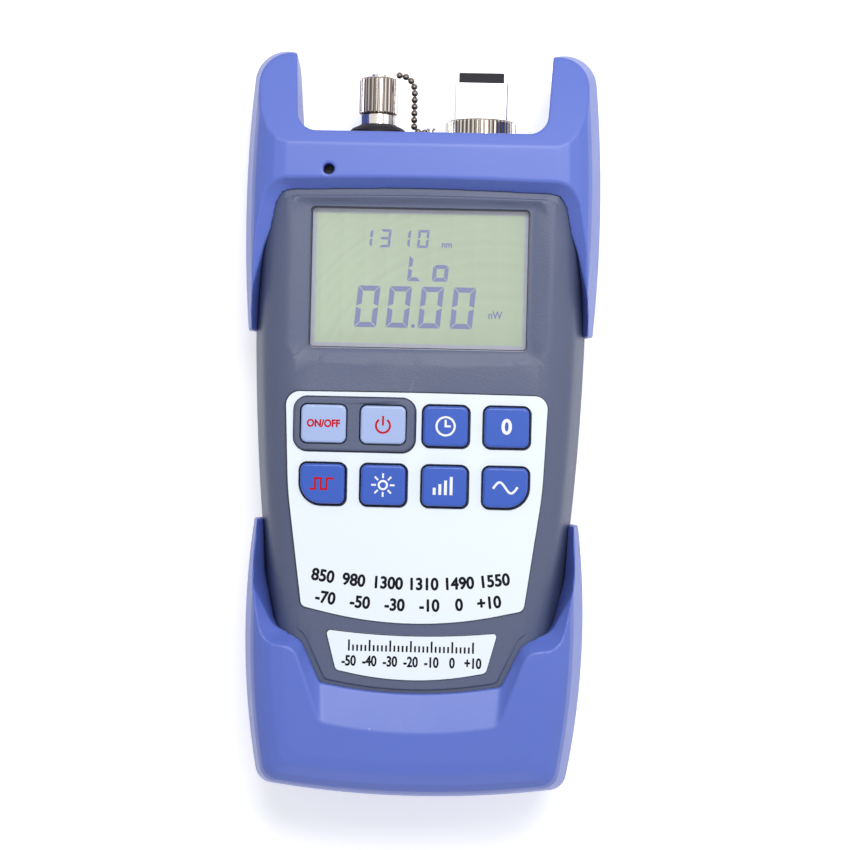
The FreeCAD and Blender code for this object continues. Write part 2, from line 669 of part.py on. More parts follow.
def key_label():
    """Printed sheet on the panel, cut out round the keys and the ring."""
    sheet = prism(mirrored(KEY_LABEL), CASE_FRONT, CASE_FRONT + LABEL_T)
    cuts = [prism(key_outline(*place, grow=KEY_GAP), CASE_FRONT - 1, CASE_FRONT + 1)
            for place in blue_keys()]
    return sheet.cut(cuts + [prism(bezel_outline(LABEL_GAP), CASE_FRONT - 1, CASE_FRONT + 1)])


def display():
    """Window, liquid-crystal panel and backlight, from the front down to the board."""
    seat = CASE_EDGE - WALL - SHEET_GAP
    window = prism(window_outline(-WINDOW_GAP), seat, CASE_FRONT - DISH_DEPTH - WINDOW_GAP)
    panel = prism(window_outline(LCD_MARGIN), seat - LCD_T, seat)
    light = prism(window_outline(LCD_MARGIN), BOARD_TOP, seat - LCD_T)
    return window, panel, light


# ---- inside -------------------------------------------------------------------
def main_board():
    """Circuit board on the front cover's bosses."""
    width, top, bottom = BOARD
    board = prism(rectangle(width, top - bottom, BOARD_R, (0, (top + bottom) / 2)),
                  BOARD_TOP - BOARD_T, BOARD_TOP)
    return board.cut([post(SCREW_R + SCREW_HOLE, BOARD_TOP - BOARD_T - 1, BOARD_TOP + 1, x, y)
                      for x, y in both_sides(BOARD_BOSSES)])


def screws(places, head_t, head_top, end):
    """Pan-head screws pointing up, with a cross slot in each head."""
    width, length, depth = SCREW_SLOT
    low = head_top - head_t
    group = []
    for x, y in both_sides(places):
        head = post(2 * SCREW_R, low, head_top, x, y)
        for half_x, half_y in ((width / 2, length / 2), (length / 2, width / 2)):
            head = head.cut(box((x - half_x, x + half_x), (y - half_y, y + half_y),
                                (low - 1, low + depth)))
        group.append(head.fuse(post(SCREW_R, head_top, end, x, y)))
    return Part.makeCompound(group)


def cell(index):
    """One AA cell; neighbours point opposite ways."""
    x = (index - (CELL_COUNT - 1) / 2) * CELL_PITCH
    nub_r, nub_t = CELL_NUB
    low = CELL_TOP_Y - CELL_LENGTH
    z = cell_height()
    if index % 2:
        can = rod(CELL_R, low + nub_t, CELL_TOP_Y, x, z)
        return can.fuse(rod(nub_r, low, low + nub_t, x, z))
    can = rod(CELL_R, low, CELL_TOP_Y - nub_t, x, z)
    return can.fuse(rod(nub_r, CELL_TOP_Y - nub_t, CELL_TOP_Y, x, z))


def contacts():
    """Plates at both ends of the bay and a bowed leaf behind each cell's lower end."""
    bottom = bay_size()[1]
    z = cell_height()
    tall = CONTACT_HALF
    group = []
    for i in range(CELL_COUNT):
        x = (i - (CELL_COUNT - 1) / 2) * CELL_PITCH
        sides = (x - tall, x + tall)
        group.append(box(sides, (CELL_TOP_Y + FIT / 2, CELL_TOP_Y + FIT / 2 + CONTACT_T),
                         (z - tall, z + tall)))
        plate = box(sides, (bottom, bottom + CONTACT_T), (z - tall, z + tall))
        back = bottom + CONTACT_T
        side = x - LEAF_WIDTH / 2
        ends = [V(side, back, z + h) for h in (-tall, tall, tall - LEAF_FOOT, LEAF_FOOT - tall)]
        bow = Part.Arc(ends[0], V(side, back + LEAF_BOW, z), ends[1]).toShape()
        inner = Part.Arc(ends[2], V(side, back + LEAF_BOW - CONTACT_T, z), ends[3]).toShape()
        wire = Part.Wire([bow, Part.makeLine(ends[1], ends[2]), inner, Part.makeLine(ends[3], ends[0])])
        group.append(plate.fuse(Part.Face(wire).extrude(V(LEAF_WIDTH, 0, 0))))
    return Part.makeCompound(group)


def indicator():
    """Indicator lamp standing on the board under its hole."""
    x, y = LIGHT_HOLE
    width, height = LAMP_FLANGE
    body = post(LIGHT_HOLE_R - LAMP_GAP, BOARD_TOP, CASE_EDGE - LAMP_SUNK, x, y)
    return body.fuse(post(LIGHT_HOLE_R + width, BOARD_TOP, BOARD_TOP + height, x, y))


# ---- ports --------------------------------------------------------------------
def ridged(radius, ridges, depth, low, high, x):
    """Straight-knurled cylinder along +Y with a chamfer at each end."""
    points = []
    crest, dip, rise = KNURL_STEPS
    for i in range(ridges):
        for part, r in ((0.0, radius), (crest, radius), (dip, radius - depth), (rise, radius - depth)):
            angle = 2 * math.pi * (i + part) / ridges
            points.append(V(x + r * math.cos(angle), low, PORT_Z + r * math.sin(angle)))
    wire = Part.makePolygon(points + points[:1])
    solid = Part.Face(wire).extrude(V(0, high - low, 0))
    edge = 2 * depth
    limit = turned([(0, low), (radius - edge, low), (radius + 0.01, low + edge),
                    (radius + 0.01, high - edge), (radius - edge, high), (0, high)], x)
    return solid.common(limit)


def end_plate():
    """Plate that closes the case between the ears and carries both ports."""
    plate = port_hole(PLATE_TOP - PLATE[2], PLATE_TOP, 0)
    return plate.cut([rod(LASER_BARREL_R + FIT, MODULE_END, WASHER_TOP, LASER_X),
                      rod(DETECTOR_BARREL_R + FIT, MODULE_END, WASHER_TOP, DETECTOR_X)])


def laser_port():
    """Threaded sleeve with a collar and a ferrule bore."""
    inner = PLATE_TOP - PLATE[2]
    port = rod(LASER_BARREL_R, MODULE_END, CAP_THREAD_END, LASER_X)
    port = port.fuse([rod(COLLAR_R, WASHER_TOP + SEAT_GAP, COLLAR_TOP, LASER_X),
                      rod(LASER_BARREL_R + LASER_FLANGE, inner - FLANGE_T, inner - SEAT_GAP, LASER_X)])
    return port.cut(rod(LASER_FERRULE_R, WASHER_TOP, CAP_THREAD_END + 1, LASER_X))


def port_washer():
    """Domed dark washer under the laser port's collar."""
    bore = LASER_BARREL_R + FIT
    low = PLATE_TOP + SEAT_GAP
    dome = [(WASHER_R - inward, PLATE_TOP + up) for inward, up in WASHER_DOME]
    return turned([(bore, low), (WASHER_R, low)] + dome
                  + [(bore + WASHER_LIP, WASHER_TOP), (bore, WASHER_TOP)], LASER_X)


def laser_cap():
    """Knurled dust cap that screws over the laser port."""
    low = COLLAR_TOP + CAP_GAP
    cap = ridged(CAP_R, CAP_RIDGES, CAP_KNURL, low, CAP_TOP, LASER_X)
    cap = cap.cut(rod(LASER_BARREL_R + THREAD_FIT, low - 1, CAP_THREAD_END + CAP_ROOM, LASER_X))
    return cap.cut(rod(STEM_R + SHEET_GAP, CAP_THREAD_END, CAP_TOP + 1, LASER_X))


def cap_ring():
    """Swivel rivet on the cap's end with the lug that carries the chain."""
    base = CAP_TOP + SHEET_GAP
    reach, width = LUG
    ring = rod(RIVET_R, base, base + RIVET_T, LASER_X)
    lug = box((LASER_X, LASER_X + reach), (base, base + RING_T), (PORT_Z - width / 2, PORT_Z + width / 2))
    return ring.fuse([rod(STEM_R, CAP_THREAD_END + 2 * CAP_ROOM, base, LASER_X), lug]).removeSplitter()


def chain_places():
    """Centres of the beads, evenly spaced along the chain's hanging line."""
    bend_y = CAP_TOP + SHEET_GAP + RIVET_T - CHAIN_TOP_R
    top_centre = V(CHAIN_X - CHAIN_TOP_R, bend_y, PORT_Z)
    foot_centre = V(CHAIN_X + CHAIN_FOOT_R, CHAIN_FOOT_Y, PORT_Z)
    top_end = CHAIN_TOP_R * math.pi / 2
    line_end = top_end + bend_y - CHAIN_FOOT_Y
    foot_end = line_end + CHAIN_FOOT_R * math.pi / 2
    places = []
    for i in range(int((foot_end + CHAIN_TAIL) / BEAD_PITCH) + 1):
        s = i * BEAD_PITCH
        if s < top_end:
            turn = math.pi / 2 - s / CHAIN_TOP_R
            places.append(top_centre + V(math.cos(turn), math.sin(turn), 0) * CHAIN_TOP_R)
        elif s < line_end:
            places.append(V(CHAIN_X, bend_y - (s - top_end), PORT_Z))
        elif s < foot_end:
            turn = math.pi + (s - line_end) / CHAIN_FOOT_R
            places.append(foot_centre + V(math.cos(turn), math.sin(turn), 0) * CHAIN_FOOT_R)
        else:
            places.append(foot_centre + V(s - foot_end, -CHAIN_FOOT_R, 0))
    return places


def cap_chain():
    """Ball chain: pressed beads joined by short links."""
    places = chain_places()
    belt, shoulder, pole = (BEAD_R * part for part in BEAD_FORM)
    forms = []
    for place in places:
        for way in (-1, 1):
            up = V(0, 0, way)
            middle = place + up * (belt / 2)
            forms.append(Part.makeCone(shoulder, pole, BEAD_R - belt / 2, middle, up))
        forms.append(Part.makeCylinder(BEAD_R, belt, place - V(0, 0, belt / 2)))
    for a, b in zip(places, places[1:]):
        way = (b - a).normalize()
        forms.append(Part.makeCylinder(LINK_R, BEAD_PITCH - BEAD_R, a + way * BEAD_R / 2, way))
    return forms[0].fuse(forms[1:]).removeSplitter()


def chain_anchor():
    """Small post on the end plate that holds the chain's foot."""
    last = chain_places()[-1]
    x = last.x + BEAD_R + POST_GAP
    stem, head = POST_R
    low, high = (last.y + up for up in POST_HEAD)
    return rod(stem, PLATE_TOP + SEAT_GAP, low, x).fuse(rod(head, low, high, x))


def detector_port():
    """Threaded barrel of the detector port."""
    inner = PLATE_TOP - PLATE[2]
    radius, wall = DETECTOR_BORE
    port = rod(DETECTOR_BARREL_R, MODULE_END, DETECTOR_TOP, DETECTOR_X)
    port = port.fuse(rod(DETECTOR_BARREL_R + DETECTOR_FLANGE, inner - FLANGE_T, inner - SEAT_GAP,
                         DETECTOR_X))
    return port.cut(rod(radius, MODULE_END + wall, DETECTOR_TOP + 1, DETECTOR_X))


def adapter_nut():
    """Knurled ring that clamps the adapter on the detector port."""
    low = PLATE_TOP + NUT_LIFT
    nut = ridged(NUT_R, NUT_RIDGES, NUT_KNURL, low, NUT_TOP, DETECTOR_X)
    nut = nut.cut(rod(DETECTOR_BARREL_R + THREAD_FIT, low - 1, NUT_TOP - NUT_ROOF, DETECTOR_X))
    return nut.cut(rod(NECK_R + THREAD_FIT, low - 1, NUT_TOP + 1, DETECTOR_X))


def square_adapter():
    """Square push-pull adapter: flange, neck, open block and its ferrule."""
    width, height = ADAPTER
    base = NUT_TOP + ADAPTER_LIFT
    x = DETECTOR_X
    flange_r, flange_t = ADAPTER_FLANGE
    flange = DETECTOR_TOP + SHEET_GAP
    block = box((x - width / 2, x + width / 2), (base, ADAPTER_TOP),
                (PORT_Z - height / 2, PORT_Z + height / 2))
    upright = [e for e in block.Edges if abs(e.BoundBox.YLength - (ADAPTER_TOP - base)) < 0.01]
    block = block.makeFillet(ADAPTER_R, upright)
    w, h = width / 2 - ADAPTER_WALL, height / 2 - ADAPTER_WALL
    block = block.cut(box((x - w, x + w), (base + ADAPTER_FLOOR, ADAPTER_TOP + 1),
                          (PORT_Z - h, PORT_Z + h)))
    block = block.fuse([rod(NECK_R, flange, base + ADAPTER_FLOOR / 2, x),
                        rod(flange_r, flange, flange + flange_t, x),
                        rod(LASER_FERRULE_R + SLEEVE_WALL, base, ADAPTER_TOP - SLEEVE_SUNK, x)])
    return block.cut(rod(LASER_FERRULE_R, DETECTOR_TOP, ADAPTER_TOP, x))


def adapter_plug():
    """Dust plug pushed into the adapter."""
    width, height = ADAPTER
    x = DETECTOR_X
    w, h = width / 2 - ADAPTER_WALL - PLUG_FIT, height / 2 - ADAPTER_WALL - PLUG_FIT
    low = NUT_TOP + ADAPTER_LIFT + ADAPTER_FLOOR + PLUG_ROOM
    high = ADAPTER_TOP + PLUG_PROUD
    plug = box((x - w, x + w), (low, high), (PORT_Z - h, PORT_Z + h))
    plug = plug.makeFillet(PLUG_EASE, [e for e in plug.Edges if e.BoundBox.YMin > high - 0.01])
    sleeve = LASER_FERRULE_R + SLEEVE_WALL
    return plug.cut(rod(sleeve + 2 * PLUG_FIT, low - 1, ADAPTER_TOP - SLEEVE_SUNK + 1, x))


def build():
    """Make and write every node."""
    body, hollow = case_body(), case_inside()
    filled = case_body(FIT).common(box((-60, 60), (-100, 100), (0, CASE_EDGE + FIT)))
    save("front_cover", front_cover(body, hollow))
    save("rear_cover", rear_cover(body, hollow))
    save("battery_door", battery_door())
    save("top_boot", top_boot(filled))
    save("bottom_boot", bottom_boot(filled))
    save("keypad_label", key_label())
    save("name_label", prism(mirrored(NAME_LABEL), CASE_FRONT, CASE_FRONT + LABEL_T))
    for name, shape in zip(("display_window", "display_panel", "display_backlight"), display()):
        save(name, shape)
    save("keypad_mat", keypad_mat())
    for i in (0, 1):
        save("light_key_%d" % (i + 1), key(light_key_outline(i), light_key_outline(i, KEY_FLANGE[0])))
    for i, place in enumerate(blue_keys()):
        save("blue_key_%d" % (i + 1), key(key_outline(*place), key_outline(*place, grow=KEY_FLANGE[0])))
    save("main_board", main_board())
    save("case_screws", screws(CASE_BOSSES, CASE_HEAD_T, CASE_BACK + WELL_DEPTH - SCREW_HOLE,
                               PARTING + CASE_GRIP))
    save("board_screws", screws(BOARD_BOSSES, BOARD_HEAD_T, BOARD_TOP - BOARD_T,
                                BOARD_TOP + BOARD_GRIP))
    for i in range(CELL_COUNT):
        save("battery_%d" % (i + 1), cell(i))
    save("cell_contacts", contacts())
    save("indicator_lamp", indicator())
    save("end_plate", end_plate())
    save("laser_port", laser_port())
    radius, length = LASER_MODULE
    save("laser_module", rod(radius, MODULE_END - length, MODULE_END - SEAT_GAP, LASER_X))
    save("port_washer", port_washer())
    save("laser_cap", laser_cap())
    save("cap_ring", cap_ring())
    save("cap_chain", cap_chain())
    save("chain_anchor", chain_anchor())
    save("detector_port", detector_port())
    radius, length = PHOTODIODE
    save("photodiode", rod(radius, MODULE_END - length, MODULE_END - SEAT_GAP, DETECTOR_X))
    save("adapter_nut", adapter_nut())
    save("square_adapter", square_adapter())
    save("adapter_plug", adapter_plug())


build()
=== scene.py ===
"""Looks of the optical power meter: finishes, prints and display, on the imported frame."""

import json
import math

import bmesh
import bpy
from mathutils import Matrix, Vector

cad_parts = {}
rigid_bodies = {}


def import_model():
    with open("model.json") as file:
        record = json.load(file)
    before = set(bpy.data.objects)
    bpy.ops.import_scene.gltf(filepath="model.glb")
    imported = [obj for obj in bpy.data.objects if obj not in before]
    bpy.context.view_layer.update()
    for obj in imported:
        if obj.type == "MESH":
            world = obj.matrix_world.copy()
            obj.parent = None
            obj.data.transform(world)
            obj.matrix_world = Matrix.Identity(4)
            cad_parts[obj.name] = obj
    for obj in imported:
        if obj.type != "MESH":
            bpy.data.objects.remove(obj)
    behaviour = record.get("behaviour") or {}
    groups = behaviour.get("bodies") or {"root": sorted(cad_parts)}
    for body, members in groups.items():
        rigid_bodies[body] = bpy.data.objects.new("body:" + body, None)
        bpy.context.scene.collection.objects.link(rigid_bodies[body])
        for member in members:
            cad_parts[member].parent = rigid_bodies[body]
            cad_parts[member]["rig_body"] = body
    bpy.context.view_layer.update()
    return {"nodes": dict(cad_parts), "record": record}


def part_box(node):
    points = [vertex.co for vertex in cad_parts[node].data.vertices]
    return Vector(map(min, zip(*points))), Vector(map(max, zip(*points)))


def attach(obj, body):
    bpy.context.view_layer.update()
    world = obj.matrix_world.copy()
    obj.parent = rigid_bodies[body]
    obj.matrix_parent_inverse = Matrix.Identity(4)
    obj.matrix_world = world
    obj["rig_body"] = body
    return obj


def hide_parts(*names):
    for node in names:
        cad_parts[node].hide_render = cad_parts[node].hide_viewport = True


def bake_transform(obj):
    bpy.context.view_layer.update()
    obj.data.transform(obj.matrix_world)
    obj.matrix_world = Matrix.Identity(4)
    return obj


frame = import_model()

MM = 0.001
NODES = frame["nodes"]
JOB = bpy.context.scene
JOB.view_settings.view_transform = "Standard"

# smoother copies
BOOT_VOXEL = 0.32 * MM    # a boot is first rebuilt from cubes of this size
BOOT_EASE = 3             # smoothing rounds on a boot's edges
BOOT_FACES = 90000        # triangles that a finished boot keeps
CREASE = math.radians(30)             # edges sharper than this stay crisp
MERGE = 0.002 * MM        # corners of neighbouring triangles closer than this are joined
EAR_BAND = (29.3 * MM, 33.5 * MM)     # where the ears' inner walls are, from the middle
EAR_START = 70.7 * MM     # edge of the boot between the ears
EAR_RUN_OUT = 5 * MM
EAR_UNDERCUT = 1.8 * MM   # the inner walls lean away from each other towards the back

# surfaces
LCD_BORDER = 1.2 * MM     # pale border of the display panel inside its window
LCD_BLUR = 0.15 * MM      # half the width over which the border meets the field
CAP_KNURL = (4.78 * MM, 4.55 * MM)    # radii of the crests and of the roots
NUT_KNURL = (8.72 * MM, 8.45 * MM)
CELL_BAND = (4.9 * MM, 5.1 * MM)      # where a battery's sleeve turns to its copper band
KNURL_RIM = 0.3 * MM      # width of the dull rim, darkened like the roots, where a knurl meets its end face
PATCHES = 45.0            # tone patches per metre on mouldings
GRAIN_SHARE = 0.25        # how much of a moulding's grain shows as tone
GLOSS_SWING = 0.10        # how far a moulding's roughness strays between patches
DUST_CELLS = 170.0        # cells per metre that may hold a speck
DUST_SIZE = (0.018, 0.036)            # a speck's solid and faded radius, in cells
DUST_CHOICE = (0.60, 0.62)            # noise level above which a cell has its speck

# prints; a length without MM is in millimetres, and places are from the middle of the face
PRINT_LIFT = 0.02 * MM    # how far ink lies above its face
BOLD_COPIES = 8           # copies that thicken a sign, shifted all round
BOLD_LIFT = 0.0015        # each of them lies this much higher
CAPITAL = 0.72            # height of a capital for a letter size of 1
LIGHT_WAY = Vector((0.75, -0.66, 0))  # the way shadows lean across the front
FACES_FRONT = 0.9         # least forward part of the normal of a face that counts as front
# width of the dark line of painted shadow in the gap along a face's edges, where its surround casts no
# further shadow on it
GAP_SHADES = {"keypad_label": 0.18, "name_label": 0.14, "display_window": 0.2}
READING_SLANT = 0.09      # lean of the signs on the display, as a part of their height
# signs on the display: left edges, foot, width, height and stroke
READING = (
    ("1310", (-14.5, -10.05, -5.3, -0.8), 7.6, 2.7, 4.4, 0.62),
    ("L", (-3.0,), -0.5, 3.3, 6.3, 0.95),
    ("o", (3.0,), -0.5, 3.8, 7.2, 0.95),
    ("0000", (-15.7, -8.0, -0.2, 7.6), -11.9, 5.4, 10.1, 1.25),
)
READING_POINT = ((-1.3, -11.4), 0.5)  # middle and radius of the decimal point
# units on the display: height, middle and width against a plain letter's
READING_UNITS = (("nm", 1.5, (6.5, 8.5), 1.0), ("nW", 1.9, (18.6, -8.5), 0.85))
UNIT_BOLD = 0.06          # what thickens them
# rows of numbers on the keypad label, from the meter's middle: lowest point, numbers, their middles
SCALE_ROWS = (
    (-38.6, ("850", "980", "1300", "1310", "1490", "1550"), (-21.7, -14.2, -6.0, 2.6, 11.2, 19.8)),
    (-43.8, ("-70", "-50", "-30", "-10", "0", "+10"), (-21.0, -12.6, -4.2, 4.2, 11.4, 18.6)),
)
SCALE_TYPE = (2.9, 0.14)  # height of the numbers and what thickens them
SCALE_SQUEEZE = 0.92      # their width against a plain number's
SCALE_SAG = (2.0, 25.0)   # a row is this much higher at this distance from its middle
TICK_INPUTS = {"Length": "Float", "Height": "Float", "Width": "Float", "Ticks": "Int",
               "Finish": "Material"}
TALL_TICK = (5, 0.8)      # every fifth tick is this part taller
LEVELS = ("-50", "-40", "-30", "-20", "-10", "0", "+10")
LEVEL_STEP = 5.0          # from number to number
LEVEL_TYPE = (2.5, 0.10)  # as for the rows above
LEVEL_SQUEEZE = 0.76
LEVEL_ROWS = (0.9, -1.6)  # feet of the ticks and middles of the numbers
LEVEL_TICKS = {"Length": 30 * MM, "Height": 1.5 * MM, "Width": 0.45 * MM, "Ticks": 31}
PEN = 0.5                 # width of the strokes on the keys

# stage
WHITE = (1, 1, 1, 1)
FLOOR_HALF = 3.0          # half the floor's side, in metres
FLOOR_TONES = ((0.93, 0.93, 0.95, 1), (0.95, 0.95, 0.97, 1))
FLOOR_GLOW = 0.42         # lifts the floor towards white for the rays below only
SEEN_RAYS = ("Is Camera Ray", "Is Glossy Ray", "Is Transmission Ray")
ROOM_COLOUR = (0.93, 0.95, 1.0, 1)
ROOM_LIGHT = 0.38         # strength of the room on the object itself
# place, aim, size, level and colour
SOFTBOXES = {
    "top_softbox": ((0.08, 0.28, 0.56), (0, 0, 0.02), (0.40, 0.24), 0.68, (1.0, 0.99, 0.98)),
    "front_softbox": ((0.0, -0.50, 0.26), (0, -0.05, 0.02), (0.5, 0.2), 0.07, (1.0, 0.98, 0.97)),
    "side_softbox": ((0.55, 0.05, 0.35), (0, 0, 0.02), (0.4, 0.4), 0.05, (0.97, 0.98, 1.0)),
}
CAMERA_LENS = 87.67
CAMERA_PLACE = (0.0175, 0.0, 0.534)
CAMERA_AIM = (0.00175, 0.0, 0.02)
CAMERA_ROLL = 1.3         # degrees


# ---- shader maths -----------------------------------------------------------------
class Wire:
    """One output of a node tree. Arithmetic on it adds Math nodes."""

    def __init__(self, nodes, socket):
        self.nodes = nodes
        self.socket = socket

    def maths(self, operation, a, b=0.0, c=0.0):
        """One Math node on these values or wires."""
        return self.nodes.make("ShaderNodeMath", {"operation": operation}, {0: a, 1: b, 2: c})

    def __add__(self, other):
        return self.maths("ADD", self, other)

    __radd__ = __add__

    def __sub__(self, other):
        return self.maths("SUBTRACT", self, other)

    def __rsub__(self, other):
        return self.maths("SUBTRACT", other, self)

    def __mul__(self, other):
        return self.maths("MULTIPLY", self, other)

    __rmul__ = __mul__

    def __abs__(self):
        return self.maths("ABSOLUTE", self)

    def step(self, low, high):
        """0 below low, 1 above high, straight between them."""
        return self.nodes.make("ShaderNodeMapRange", {}, {"Value": self, "From Min": low, "From Max": high})

    def larger(self, other):
        return self.maths("MAXIMUM", self, other)


class Nodes:
    """A node tree that is filled one node at a time."""

    def __init__(self, tree):
        self.tree = tree

    def make(self, kind, settings=None, inputs=None, output=0):
        """Add one node, settings before sockets; gives the wire of one output, or a list for several."""
        node = self.tree.nodes.new(kind)
        for label, value in (settings or {}).items():
            setattr(node, label, value)
        for label, value in (inputs or {}).items():
            self.join(value, node.inputs[label])
        if isinstance(output, tuple):
            return [Wire(self, node.outputs[label]) for label in output]
        return Wire(self, node.outputs[output]) if node.outputs else None

    def join(self, value, socket):
        """Link a wire, or write a constant, to a socket."""
        if isinstance(value, Wire):
            self.tree.links.new(value.socket, socket)
        else:
            socket.default_value = value

    def seen(self):
        """1 for the rays that show the surroundings, straight or by way of metal and glass."""
        straight, glossy, passing = self.make("ShaderNodeLightPath", output=SEEN_RAYS)
        return straight.larger(glossy).larger(passing)


class Finish(Nodes):
    """A material: its Principled shader and the nodes that feed it."""

    def __init__(self, name, **constants):
        self.material = bpy.data.materials.new(name)
        self.material.use_nodes = True
        super().__init__(self.material.node_tree)
        self.shader = self.tree.nodes["Principled BSDF"]
        for label, value in constants.items():
            self.shader.inputs[label.replace("_", " ").title().replace("Ior", "IOR")].default_value = value
        self.place = self.make("ShaderNodeTexCoord", output="Object")

    def feed(self, label, value):
        """Give the shader something that changes over the surface."""
        self.join(value, self.shader.inputs[label])

    def noise(self, scale, detail=3.0, stretch=None):
        """Noise on the object's own coordinates; scale is in features per metre."""
        place = self.place
        if stretch:
            place = self.make("ShaderNodeMapping", {}, {"Vector": place, "Scale": stretch})
        return self.make("ShaderNodeTexNoise", {}, {"Vector": place, "Scale": scale, "Detail": detail})

    def mix(self, factor, first, second):
        """Blend of two colours."""
        return self.make("ShaderNodeMix", {"data_type": "RGBA"}, {0: factor, 6: first, 7: second}, output=2)

    def bump(self, height, depth, strength=1.0):
        """Normal from a height that runs from 0 to 1, depth in metres."""
        return self.make("ShaderNodeBump", {}, {"Height": height, "Distance": depth, "Strength": strength})


def rgb(red, green, blue):
    """Linear colour from an sRGB one in 0 to 255."""
    def linear(value):
        value /= 255
        return value / 12.92 if value <= 0.04045 else ((value + 0.055) / 1.055) ** 2.4
    return (linear(red), linear(green), linear(blue), 1.0)


def shade(colour, factor):
    """The colour made lighter or darker."""
    return tuple(min(1.0, channel * factor) for channel in colour[:3]) + (1.0,)


# ---- finishes ---------------------------------------------------------------------
def moulded(name, colour, roughness, grain, depth, spread=0.06, dust=0.0, **constants):
    """Moulded plastic or rubber: fine grain, faint tone changes, uneven gloss, perhaps dust specks."""
    finish = Finish(name, **constants)
    patches = finish.noise(PATCHES, 2.0)
    fine = finish.noise(grain, 4.0)
    tone = finish.mix(patches, shade(colour, 1 - spread), shade(colour, 1 + spread))
    if dust:
        cells = finish.make("ShaderNodeTexVoronoi", {}, {"Vector": finish.place, "Scale": DUST_CELLS})
        speck = (1.0 - cells.step(*DUST_SIZE)) * finish.noise(90.0, 1.0).step(*DUST_CHOICE)
        tone = finish.mix(speck * dust, tone, rgb(226, 230, 244))
    finish.feed("Base Color", finish.mix(fine * GRAIN_SHARE, tone, shade(colour, 0.86)))
    finish.feed("Roughness", (patches - 0.5) * GLOSS_SWING + roughness)
    finish.feed("Normal", finish.bump(fine, depth))
    return finish.material


def plated(name, colour, roughness):
    """Bright plate with faint polishing lines and slightly duller patches."""
    finish = Finish(name, metallic=1.0)
    lines = finish.noise(900.0, 2.0, stretch=(1.0, 0.08, 1.0))
    patches = finish.noise(160.0, 3.0)
    finish.feed("Base Color", finish.mix(patches, shade(colour, 0.9), shade(colour, 1.06)))
    finish.feed("Roughness", patches * 0.12 + roughness)
    finish.feed("Normal", finish.bump(lines, 0.000008, 0.5))
    return finish.material


def knurled(name, colour, node, radii):
    """Bright knurled plate, dull in the roots of the knurl and darkened there by grime and painted shade.
    """
    crest, root = radii
    finish = Finish(name, metallic=1.0)
    low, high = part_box(node)
    x, _, z = split(finish)
    x, z = x - (low.x + high.x) / 2, z - (low.z + high.z) / 2
    radius = x * x + z * z
    inside = 1.0 - radius.step((root - KNURL_RIM) ** 2, (root - KNURL_RIM / 2) ** 2)
    height = radius.step(root * root, crest * crest).larger(inside)
    patches = finish.noise(240.0, 3.0)
    bright = finish.mix(patches, shade(colour, 0.85), shade(colour, 1.08))
    # the darker root colour is grime and painted shade in the roots and on the rim
    finish.feed("Base Color", finish.mix(height, rgb(118, 108, 102), bright))
    finish.feed("Roughness", 0.34 - height * 0.2)
    return finish.material


def printed_film(name, colour):
    """Satin printed film with a faint orange-peel surface."""
    finish = Finish(name, coat_weight=0.15, coat_roughness=0.2)
    patches = finish.noise(30.0, 2.0)
    peel = finish.noise(1400.0, 2.0)
    finish.feed("Base Color", finish.mix(patches, shade(colour, 0.975), shade(colour, 1.0)))
    finish.feed("Roughness", patches * 0.08 + 0.34)
    finish.feed("Normal", finish.bump(peel, 0.000012, 0.6))
    return finish.material


def ink(name, colour):
    """Screen-printed ink: nearly even, with a slightly mottled gloss."""
    finish = Finish(name, specular_ior_level=0.15)
    mottle = finish.noise(2600.0, 2.0)
    finish.feed("Base Color", finish.mix(mottle, shade(colour, 0.85), shade(colour, 1.1)))
    finish.feed("Roughness", mottle * 0.2 + 0.6)
    return finish.material


def crystal_panel(name, border, field, centre, half):
    """Display panel: a green-grey field that fades to its sides, inside a pale border."""
    finish = Finish(name, specular_ior_level=0.3)
    x, y, _ = split(finish)
    beyond = (abs(x - centre.x) - half.x).larger(abs(y - centre.y) - half.y)
    edge = beyond.step(-LCD_BLUR, LCD_BLUR)
    clouds = finish.noise(28.0, 2.0)
    drift = (x - centre.x) * 6.0 + clouds
    tone = finish.mix(drift.step(0.2, 0.8), shade(field, 1.05), shade(field, 0.93))
    finish.feed("Base Color", finish.mix(edge, tone, border))
    finish.feed("Roughness", clouds * 0.1 + 0.3)
    return finish.material


def split(finish):
    """The three object coordinates as wires."""
    return finish.make("ShaderNodeSeparateXYZ", {}, {"Vector": finish.place}, ("X", "Y", "Z"))


def clear_window(name):
    """Thin clear window: hardly there, but glossy."""
    finish = Finish(name, alpha=0.10, coat_weight=0.4, coat_roughness=0.04)
    haze = finish.noise(60.0, 2.0)
    finish.feed("Base Color", finish.mix(haze, rgb(228, 232, 236), rgb(246, 248, 250)))
    finish.feed("Roughness", haze * 0.04 + 0.05)
    return finish.material


def solder_mask(name):
    """Green board with a faint pattern of tracks under the mask."""
    finish = Finish(name, coat_weight=0.3)
    cells = finish.make("ShaderNodeTexVoronoi", {"distance": "MANHATTAN", "feature": "DISTANCE_TO_EDGE"},
                        {"Vector": finish.place, "Scale": 260.0})
    tracks = cells.step(0.03, 0.06)
    finish.feed("Base Color", finish.mix(tracks, rgb(58, 140, 74), rgb(20, 84, 44)))
    finish.feed("Roughness", tracks * 0.1 + 0.3)
    finish.feed("Normal", finish.bump(tracks, 0.00003))
    return finish.material


def cell_sleeve(name):
    """Battery sleeve: dark body with a copper-coloured band at one end."""
    finish = Finish(name, coat_weight=0.3)
    _, y, _ = split(finish)
    band = y.step(*CELL_BAND)
    wear = finish.noise(400.0, 3.0)
    body = finish.mix(wear, rgb(36, 36, 40), rgb(48, 48, 54))
    finish.feed("Base Color", finish.mix(band, body, rgb(176, 118, 74)))
    finish.feed("Roughness", wear * 0.15 + 0.25)
    return finish.material


